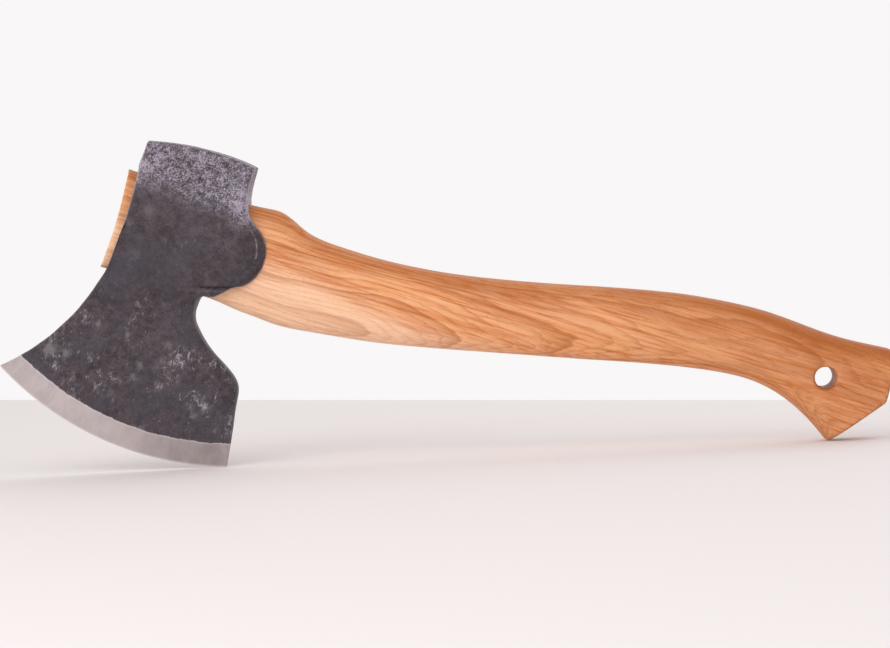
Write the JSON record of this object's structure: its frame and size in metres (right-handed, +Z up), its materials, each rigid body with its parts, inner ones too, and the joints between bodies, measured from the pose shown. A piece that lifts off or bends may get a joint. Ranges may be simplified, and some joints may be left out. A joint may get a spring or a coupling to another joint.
{
  "type": "hatchet",
  "caption": "Carving hatchet with a bearded, broad-edged forged steel head wedged onto a curved wooden haft with a hanging hole.",
  "frame": {"origin": "on the surface that the hatchet stands on, under the middle of its bounding box", "axes": "+Z up; +X from the head towards the foot of the haft; Y across the blade, whose middle plane is y = 0. The hatchet stands on the heel of its blade and the toe of its foot."},
  "size_m": [0.4188, 0.0326, 0.1549],
  "materials": {
    "forged_steel": "satin",
    "haft_wood": "satin",
    "wedge_wood": "matte",
    "wedge_steel": "satin"
  },
  "bodies": {
    "root": {"axe_head": "forged_steel", "haft": "haft_wood", "wooden_wedge": "wedge_wood", "steel_wedge": "wedge_steel"}
  },
  "joints": []
}
